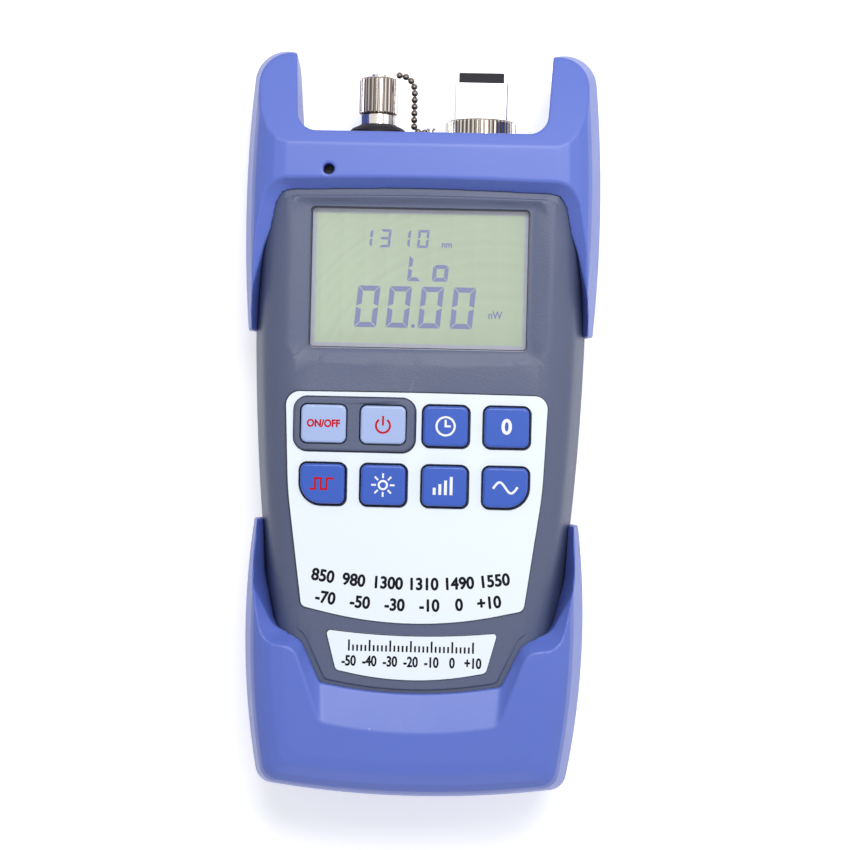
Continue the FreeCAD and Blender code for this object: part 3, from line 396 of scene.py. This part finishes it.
BLUE = rgb(88, 110, 198)
GREY = rgb(80, 89, 117)
FINISHES = {
    "boot": moulded("boot_rubber", BLUE, 0.42, 2600.0, 0.00002, 0.03, 0.6, coat_weight=0.12,
                    coat_roughness=0.35),
    "case": moulded("case_plastic", GREY, 0.48, 1900.0, 0.00006, 0.05),
    "label": printed_film("label_film", rgb(236, 245, 255)),
    # painted shadow: the dark lines in the gaps round the labels, keys and display window
    "edge": moulded("gap_shade", rgb(30, 33, 48), 0.7, 1800.0, 0.00001),
    "window": clear_window("display_window_clear"),
    "backlight": moulded("light_guide", rgb(220, 226, 210), 0.3, 900.0, 0.00001),
    "silicone": moulded("silicone_mat", rgb(120, 124, 134), 0.6, 1500.0, 0.00002),
    "board": solder_mask("board_mask"),
    "steel": plated("plated_steel", rgb(190, 190, 195), 0.28),
    "cell": cell_sleeve("cell_sleeve"),
    # near black: painted shade of the dark hole over the lamp
    "lamp": moulded("lamp_lens", rgb(10, 6, 10), 0.5, 800.0, 0.000005),
    "chrome": plated("nickel_plate", rgb(226, 220, 214), 0.10),
    # far darker than plain plate: painted dark reflections on the beads
    "beads": plated("bead_plate", rgb(112, 104, 98), 0.08),
    "square": plated("square_plate", rgb(252, 252, 248), 0.3),
    "brass": plated("turned_brass", rgb(214, 176, 96), 0.25),
    "black": moulded("black_moulding", rgb(26, 24, 34), 0.6, 1800.0, 0.00002, specular_ior_level=0.25),
    "light_key": moulded("light_key_plastic", rgb(164, 184, 229), 0.36, 2600.0, 0.00001, 0.03,
                         coat_weight=0.3),
    "blue_key": moulded("blue_key_plastic", rgb(38, 84, 186), 0.40, 2600.0, 0.00001, 0.03,
                        coat_weight=0.25),
}


def dress_nodes():
    """Give every node of the frame the finish of its slot."""
    window_low, window_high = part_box("display_window")
    middle = (window_low + window_high) / 2
    half = (window_high - window_low) / 2 - Vector((LCD_BORDER, LCD_BORDER, 0))
    FINISHES["lcd"] = crystal_panel("crystal_panel", rgb(178, 180, 196), rgb(183, 199, 172), middle, half)
    special = {
        "laser_cap": knurled("cap_knurl", rgb(192, 184, 179), "laser_cap", CAP_KNURL),
        "adapter_nut": knurled("nut_knurl", rgb(226, 220, 212), "adapter_nut", NUT_KNURL),
        "square_adapter": FINISHES["square"],
    }
    for part in frame["record"]["subparts"]:
        mesh = NODES[part["node"]].data
        mesh.materials.clear()
        mesh.materials.append(special.get(part["node"], FINISHES[part["material_slot"]]))


# ---- smoother copies --------------------------------------------------------------
def copy_of(node, name):
    """Loose copy of a node's piece, its triangles joined."""
    piece = NODES[node].copy()
    piece.data = NODES[node].data.copy()
    piece.name = piece.data.name = name
    for key in [k for k in piece.keys() if k.startswith("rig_")]:
        del piece[key]
    piece.parent = None
    JOB.collection.objects.link(piece)
    work = bmesh.new()
    work.from_mesh(piece.data)
    bmesh.ops.remove_doubles(work, verts=work.verts, dist=MERGE)
    work.to_mesh(piece.data)
    work.free()
    return piece


def plain_mesh(piece):
    """The piece as its modifiers or letters make it, as a mesh."""
    return bpy.data.meshes.new_from_object(piece.evaluated_get(bpy.context.evaluated_depsgraph_get()))


def applied(piece):
    """Turn the piece's modifiers into a plain mesh."""
    mesh = plain_mesh(piece)
    piece.modifiers.clear()
    piece.data = mesh


def stand_in(piece, node, slot):
    """Let the finished copy take the node's place on the meter."""
    piece.data.materials.clear()
    piece.data.materials.append(FINISHES[slot])
    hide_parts(node)
    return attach(piece, "meter")


def softened(node, slot):
    """Copy of a rubber moulding with its edges rounded as the mould rounds them."""
    piece = copy_of(node, node + "_skin")
    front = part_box(node)[1].z
    for vert in piece.data.vertices:
        place = vert.co
        if EAR_BAND[0] < abs(place.x) < EAR_BAND[1] and place.y > EAR_START:
            reach = min(1.0, (place.y - EAR_START) / EAR_RUN_OUT) * (front - place.z) / front
            place.x += math.copysign(EAR_UNDERCUT, place.x) * reach
    remesh = piece.modifiers.new("even", "REMESH")
    remesh.mode = "VOXEL"
    remesh.voxel_size = BOOT_VOXEL
    relax = piece.modifiers.new("relax", "SMOOTH")
    relax.factor = 0.5
    relax.iterations = BOOT_EASE
    applied(piece)
    thin = piece.modifiers.new("thin", "DECIMATE")
    thin.ratio = min(1.0, BOOT_FACES / (2 * len(piece.data.polygons)))
    applied(piece)
    piece.data.shade_smooth()
    return stand_in(piece, node, slot)


def creased(node, slot):
    """Copy of a hard moulding that is smooth over its shoulders and crisp at its edges."""
    piece = copy_of(node, node + "_skin")
    piece.data.shade_smooth()
    piece.data.set_sharp_from_angle(angle=CREASE)
    flats = piece.modifiers.new("flats", "WEIGHTED_NORMAL")
    flats.keep_sharp = True
    applied(piece)
    return stand_in(piece, node, slot)


# ---- flat prints ------------------------------------------------------------------
class Print:
    """Flat ink shapes, and the dark lines of painted shadow, gathered into one piece, in millimetres from
    the print's middle.
    """

    def __init__(self, name, centre, height, material, slot, body="meter"):
        self.name, self.material = name, material
        self.place = Vector((centre[0], centre[1], height + PRINT_LIFT))
        self.slot, self.body = slot, body
        self.work = bmesh.new()

    def face(self, points):
        """One flat polygon, facing up."""
        face = self.work.faces.new([self.work.verts.new((x, y, 0)) for x, y in points])
        face.normal_update()
        if face.normal.z < 0:
            face.normal_flip()

    def stroke(self, points, width):
        """Ribbon of even width along straight runs, mitred where they meet."""
        points = [Vector(point) for point in points]
        ways = [(b - a).normalized() for a, b in zip(points, points[1:])]
        points[0] = points[0] - ways[0] * width / 2
        points[-1] = points[-1] + ways[-1] * width / 2
        sides = []
        for first, second in zip([ways[0]] + ways, ways + [ways[-1]]):
            middle = (first + second).normalized()
            across = Vector((-middle.y, middle.x))
            sides.append(across * (width / 2) / across.dot(Vector((-second.y, second.x))))
        for a, b, p, q in zip(points, points[1:], sides, sides[1:]):
            self.face([a + p, a - p, b - q, b + q])

    def ring(self, radius, width, start=0.0, end=360.0, centre=(0, 0), steps=36):
        """Arc of even width, in degrees from +X."""
        angles = [math.radians(start + (end - start) * i / steps) for i in range(steps + 1)]
        for a, b in zip(angles, angles[1:]):
            self.face([(centre[0] + r * math.cos(t), centre[1] + r * math.sin(t))
                       for r, t in ((radius + width / 2, a), (radius + width / 2, b),
                                    (radius - width / 2, b), (radius - width / 2, a))])

    def disc(self, centre, radius, steps=24):
        """Filled round spot."""
        turns = [math.tau * i / steps for i in range(steps)]
        self.face([(centre[0] + radius * math.cos(t), centre[1] + radius * math.sin(t)) for t in turns])

    def words(self, text, height, bold, centre=(0, 0), turn=0.0, squeeze=1.0):
        """Characters of the given height, centred on a point and thickened by shifted copies."""
        curve = bpy.data.curves.new(self.name + "_letters", "FONT")
        curve.body = text
        curve.align_x = curve.align_y = "CENTER"
        curve.size = height / CAPITAL
        holder = bpy.data.objects.new(curve.name, curve)
        JOB.collection.objects.link(holder)
        flat = plain_mesh(holder)
        flat.transform(Matrix.Translation((*centre, 0)) @ Matrix.Rotation(turn, 4, "Z")
                       @ Matrix.Diagonal((squeeze, 1, 1, 1)))
        shifts = [(0, 0, 0)]
        for step in range(1, BOLD_COPIES + 1):
            way = math.tau * step / BOLD_COPIES
            shifts.append((bold * math.cos(way), bold * math.sin(way), step * BOLD_LIFT))
        for shift in shifts:
            copy = flat.copy()
            copy.transform(Matrix.Translation(shift))
            self.work.from_mesh(copy)
            bpy.data.meshes.remove(copy)
        bpy.data.objects.remove(holder)
        bpy.data.curves.remove(curve)
        bpy.data.meshes.remove(flat)

    def finish(self):
        """Make the piece, bring it to its place and let it ride."""
        mesh = bpy.data.meshes.new(self.name)
        self.work.to_mesh(mesh)
        self.work.free()
        mesh.transform(Matrix.Translation(self.place) @ Matrix.Scale(MM, 4))
        mesh.materials.append(self.material)
        piece = bpy.data.objects.new(self.name, mesh)
        JOB.collection.objects.link(piece)
        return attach(piece, self.body)


def middle_of(node):
    """Middle of a node's box, seen from the front, and its top."""
    low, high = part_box(node)
    return ((low.x + high.x) / 2, (low.y + high.y) / 2), high.z


SEGMENTS = {"0": "abcdef", "1": "bc", "3": "abcdg", "L": "def", "o": "cdeg"}


def digit(reading, symbol, left, low, width, height, thick):
    """Seven-segment sign with mitred corners, leaning to the right."""
    gap, middle = thick * 0.1, height / 2
    flat = ((gap, 0), (thick + gap, thick), (width - thick - gap, thick), (width - gap, 0))
    upright = ((0, gap), (thick, thick + gap), (thick, middle - thick / 2 - gap / 2), (0, middle - gap))
    bar = ((gap, middle), (thick, middle + thick / 2), (width - thick, middle + thick / 2),
           (width - gap, middle), (width - thick, middle - thick / 2), (thick, middle - thick / 2))
    # outline of each segment, and whether it is mirrored across and upwards
    shapes = {"d": (flat, False, False), "a": (flat, False, True), "e": (upright, False, False),
              "f": (upright, False, True), "c": (upright, True, False), "b": (upright, True, True),
              "g": (bar, False, False)}
    for name in SEGMENTS[symbol]:
        corners, over_x, over_y = shapes[name]
        corners = [(width - x if over_x else x, height - y if over_y else y) for x, y in corners]
        reading.face([(left + x + READING_SLANT * y, low + y) for x, y in corners])


def display_reading():
    """The reading on the panel: small wavelength, two signs and the large value."""
    segments = ink("segment_ink", rgb(122, 130, 176))
    reading = Print("display_reading", middle_of("display_window")[0], middle_of("display_panel")[1],
                    segments, "lcd")
    for symbols, lefts, *sizes in READING:
        for symbol, left in zip(symbols, lefts):
            digit(reading, symbol, left, *sizes)
    reading.disc(*READING_POINT)
    for text, height, centre, squeeze in READING_UNITS:
        reading.words(text, height, UNIT_BOLD, centre, squeeze=squeeze)
    return reading.finish()


# ---- printed faces and painted gap shadow -----------------------------------------
def scale_print():
    """Numbers under the keys: wavelengths above, levels below, on the label's curve."""
    top = middle_of("keypad_label")[1]
    scale = Print("scale_print", (0, 0), top, ink("dark_ink", rgb(12, 12, 20)), "label")
    sag, reach = SCALE_SAG
    for low, numbers, middles in SCALE_ROWS:
        for number, x in zip(numbers, middles):
            part = x / reach
            turn = math.atan(2 * sag * part / reach)
            scale.words(number, *SCALE_TYPE, (x, low + sag * part * part), turn, SCALE_SQUEEZE)
    return scale.finish()


def gap_shade(node, width):
    """Painted shadow in the gaps: dark line along every edge of a flat face, wider where its surround's
    shadow falls.
    """
    piece = copy_of(node, node + "_outline")
    work = bmesh.new()
    work.from_mesh(piece.data)
    bpy.data.objects.remove(piece)
    top = middle_of(node)[1]
    flat = {face for face in work.faces
            if face.normal.z > FACES_FRONT and face.calc_center_median().z > top - PRINT_LIFT}
    inward = {}
    rim = []
    for edge in work.edges:
        loops = [loop for loop in edge.link_loops if loop.face in flat]
        if len(loops) == 1:
            start, end = loops[0].vert, loops[0].link_loop_next.vert
            along = (end.co - start.co).normalized()
            rim.append((start, end))
            for vert in edge.verts:
                inward[vert] = inward.get(vert, Vector()) + Vector((-along.y, along.x, 0))

    def moved(vert):
        side = inward[vert].normalized()
        return vert.co / MM + side * width * (1 + max(0.0, side.dot(LIGHT_WAY)))

    line = Print(node + "_gap_shadow", (0, 0), top, FINISHES["edge"], "label")
    for a, b in rim:
        line.face([p.to_2d() for p in (a.co / MM, b.co / MM, moved(b), moved(a))])
    work.free()
    return line.finish()


def tick_tree():
    """Geometry tree: a row of upright ticks, every fifth one taller."""
    tree = bpy.data.node_groups.new("tick_row", "GeometryNodeTree")
    tree.interface.new_socket("Geometry", in_out="OUTPUT", socket_type="NodeSocketGeometry")
    for label, kind in TICK_INPUTS.items():
        tree.interface.new_socket(label, in_out="INPUT", socket_type="NodeSocket" + kind)
    nodes = Nodes(tree)
    length, height, width, ticks, finish = nodes.make("NodeGroupInput", output=tuple(TICK_INPUTS))
    start = nodes.make("ShaderNodeCombineXYZ", {}, {"X": length * -0.5})
    end = nodes.make("ShaderNodeCombineXYZ", {}, {"X": length * 0.5})
    row = nodes.make("GeometryNodeMeshLine", {"mode": "END_POINTS"},
                     {"Count": ticks, "Start Location": start, "Offset": end})
    index = nodes.make("GeometryNodeInputIndex")
    every, extra = TALL_TICK
    tall = index.maths("COMPARE", index.maths("MODULO", index, every), 0.0)
    stretch = nodes.make("ShaderNodeCombineXYZ", {}, {"X": 1.0, "Y": tall * extra + 1.0, "Z": 1.0})
    mark = nodes.make("GeometryNodeMeshGrid", {},
                      {"Size X": width, "Size Y": height, "Vertices X": 2, "Vertices Y": 2})
    lift = nodes.make("ShaderNodeCombineXYZ", {}, {"Y": height * 0.5})
    mark = nodes.make("GeometryNodeTransform", {}, {"Geometry": mark, "Translation": lift})
    marks = nodes.make("GeometryNodeInstanceOnPoints", {},
                       {"Points": row, "Instance": mark, "Scale": stretch})
    real = nodes.make("GeometryNodeRealizeInstances", {}, {"Geometry": marks})
    done = nodes.make("GeometryNodeSetMaterial", {}, {"Geometry": real, "Material": finish})
    nodes.make("NodeGroupOutput", {}, {"Geometry": done})
    return tree


def tick_row(name, place, **values):
    """Row of ticks as a plain mesh, riding on the meter."""
    piece = bpy.data.objects.new(name, bpy.data.meshes.new(name))
    JOB.collection.objects.link(piece)
    grow = piece.modifiers.new("row", "NODES")
    grow.node_group = tick_tree()
    for item in grow.node_group.interface.items_tree:
        if item.in_out == "INPUT":
            grow[item.identifier] = values[item.name]
    applied(piece)
    piece.data.transform(Matrix.Translation(place))
    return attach(piece, "meter")


def level_scale():
    """Plain level scale on the lower label: ticks with round numbers under them."""
    (_, y), top = middle_of("name_label")
    dark = ink("scale_ink", rgb(12, 12, 20))
    tick_foot, number_middle = LEVEL_ROWS
    tick_row("level_ticks", Vector((0, y + tick_foot * MM, top + PRINT_LIFT)), **LEVEL_TICKS, Finish=dark)
    numbers = Print("level_numbers", (0, y), top, dark, "label")
    for place, value in enumerate(LEVELS, -(len(LEVELS) // 2)):
        numbers.words(value, *LEVEL_TYPE, (place * LEVEL_STEP, number_middle), squeeze=LEVEL_SQUEEZE)
    return numbers.finish()


def on_off_sign(legend):
    """Plain words."""
    legend.words("ON/OFF", 1.8, 0.09, squeeze=0.88)


def power_sign(legend):
    """Open ring with a bar in its gap."""
    legend.ring(1.7, PEN, 125, 415, centre=(0, -0.2))
    legend.stroke([(0, 0.1), (0, 1.9)], PEN)


def clock_sign(legend):
    """Dial with two hands."""
    legend.ring(2.2, PEN)
    legend.stroke([(0, 1.3), (0, 0), (1.0, 0)], PEN)


def nought_sign(legend):
    """Reference key."""
    legend.words("0", 3.6, 0.16)


def square_wave_sign(legend):
    """Two square pulses."""
    legend.stroke([(-2.8, -1.3), (-1.7, -1.3), (-1.7, 1.3), (-0.3, 1.3),
                   (-0.3, -1.3), (1.1, -1.3), (1.1, 1.3), (2.6, 1.3)], PEN)


def lamp_sign(legend):
    """Small ring with rays for the backlight."""
    rays = 8
    legend.ring(1.0, PEN)
    for turn in (math.tau * ray / rays for ray in range(rays)):
        legend.stroke([(r * math.cos(turn), r * math.sin(turn)) for r in (1.9, 2.6)], 0.45)


def bars_sign(legend):
    """Four rising bars."""
    foot = -1.7
    for place, tall in enumerate((1.0, 1.9, 2.8, 3.7)):
        x = place * 1.35 - 2.4
        legend.stroke([(x, foot), (x, foot + tall)], 0.7)


def wave_sign(legend):
    """One period of a round wave."""
    half_steps, reach, height = 12, 2.8, 1.3
    legend.stroke([(step / half_steps * reach, -height * math.sin(math.pi * step / half_steps))
                   for step in range(-half_steps, half_steps + 1)], 0.55)


def key_legends():
    """One legend for each key, riding with it."""
    red = ink("red_legend_ink", rgb(196, 8, 24))
    pale = ink("pale_legend_ink", rgb(244, 247, 255))
    legends = [("on_off_legend", "light_key_1", red, on_off_sign),
               ("power_legend", "light_key_2", red, power_sign)]
    signs = (clock_sign, nought_sign, square_wave_sign, lamp_sign, bars_sign, wave_sign)
    for number, draw in enumerate(signs, 1):
        colour = red if draw is square_wave_sign else pale
        legends.append((f"key_legend_{number}", f"blue_key_{number}", colour, draw))
    for name, node, colour, draw in legends:
        slot = node.rpartition("_")[0]
        legend = Print(name, *middle_of(node), colour, slot, NODES[node]["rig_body"])
        draw(legend)
        legend.finish()


# ---- chain ------------------------------------------------------------------------
def bead_chain():
    """Ball chain between the end plate and the swivelling cap ring."""
    piece = copy_of("cap_chain", "bead_chain")
    piece.data.shade_smooth()
    piece.data.set_sharp_from_angle(angle=CREASE)
    piece.data.materials.clear()
    piece.data.materials.append(FINISHES["beads"])
    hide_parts("cap_chain")
    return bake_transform(piece)


# ---- stage, light and camera --------------------------------------------------------
def floor():
    """Plain pale floor that keeps the shadow."""
    mesh = bpy.data.meshes.new("floor")
    corners = [(x * FLOOR_HALF, y * FLOOR_HALF, 0) for x, y in ((-1, -1), (1, -1), (1, 1), (-1, 1))]
    mesh.from_pydata(corners, [], [(0, 1, 2, 3)])
    finish = Finish("floor_white", roughness=0.9, specular_ior_level=0.0, emission_strength=1.0)
    finish.feed("Base Color", finish.mix(finish.noise(3.0, 1.0), *FLOOR_TONES))
    finish.feed("Emission Color", finish.mix(finish.seen(), (0, 0, 0, 1), shade(WHITE, FLOOR_GLOW)))
    mesh.materials.append(finish.material)
    plane = bpy.data.objects.new("floor", mesh)
    JOB.collection.objects.link(plane)


def softbox(name, place, aim, size, level, colour):
    """Area lamp; level is what it adds to a white floor under it."""
    lamp = bpy.data.lights.new(name, "AREA")
    lamp.shape = "RECTANGLE"
    lamp.size, lamp.size_y = size
    way = Vector(aim) - Vector(place)
    lamp.energy = level * math.pi ** 2 * way.length ** 3 / abs(way.z)
    lamp.color = colour
    holder = bpy.data.objects.new(name, lamp)
    holder.location = place
    holder.rotation_euler = way.to_track_quat("-Z", "Y").to_euler()
    JOB.collection.objects.link(holder)


def surroundings():
    """White room for the camera; softer light on the object."""
    world = bpy.data.worlds.new("room")
    world.use_nodes = True
    world.node_tree.nodes.clear()
    JOB.world = world
    room = Nodes(world.node_tree)
    fill = room.make("ShaderNodeBackground", {}, {"Color": ROOM_COLOUR, "Strength": ROOM_LIGHT})
    white = room.make("ShaderNodeBackground", {}, {"Color": WHITE})
    both = room.make("ShaderNodeMixShader", {}, {0: room.seen(), 1: fill, 2: white})
    room.make("ShaderNodeOutputWorld", {}, {"Surface": both})


def camera():
    """Straight-down view with a slight turn and a slight lean."""
    lens = bpy.data.cameras.new("camera")
    lens.sensor_width = 36.0
    lens.lens = CAMERA_LENS
    lens.clip_start, lens.clip_end = 0.01, 20
    holder = bpy.data.objects.new("camera", lens)
    way = Vector(CAMERA_AIM) - Vector(CAMERA_PLACE)
    level = way.to_track_quat("-Z", "Y").to_matrix().to_4x4()
    up = level.to_3x3() @ Vector((0, 1, 0))
    roll = Matrix.Rotation(math.radians(CAMERA_ROLL) - math.atan2(-up.x, up.y), 4, way.normalized() * -1)
    holder.matrix_world = Matrix.Translation(CAMERA_PLACE) @ roll @ level
    JOB.collection.objects.link(holder)
    JOB.camera = holder


dress_nodes()
softened("top_boot", "boot")
softened("bottom_boot", "boot")
creased("front_cover", "case")
creased("rear_cover", "case")
bead_chain()
display_reading()
scale_print()
level_scale()
for face_node, shade_width in GAP_SHADES.items():
    gap_shade(face_node, shade_width)
key_legends()
floor()
surroundings()
for name, settings in SOFTBOXES.items():
    softbox(name, *settings)
camera()
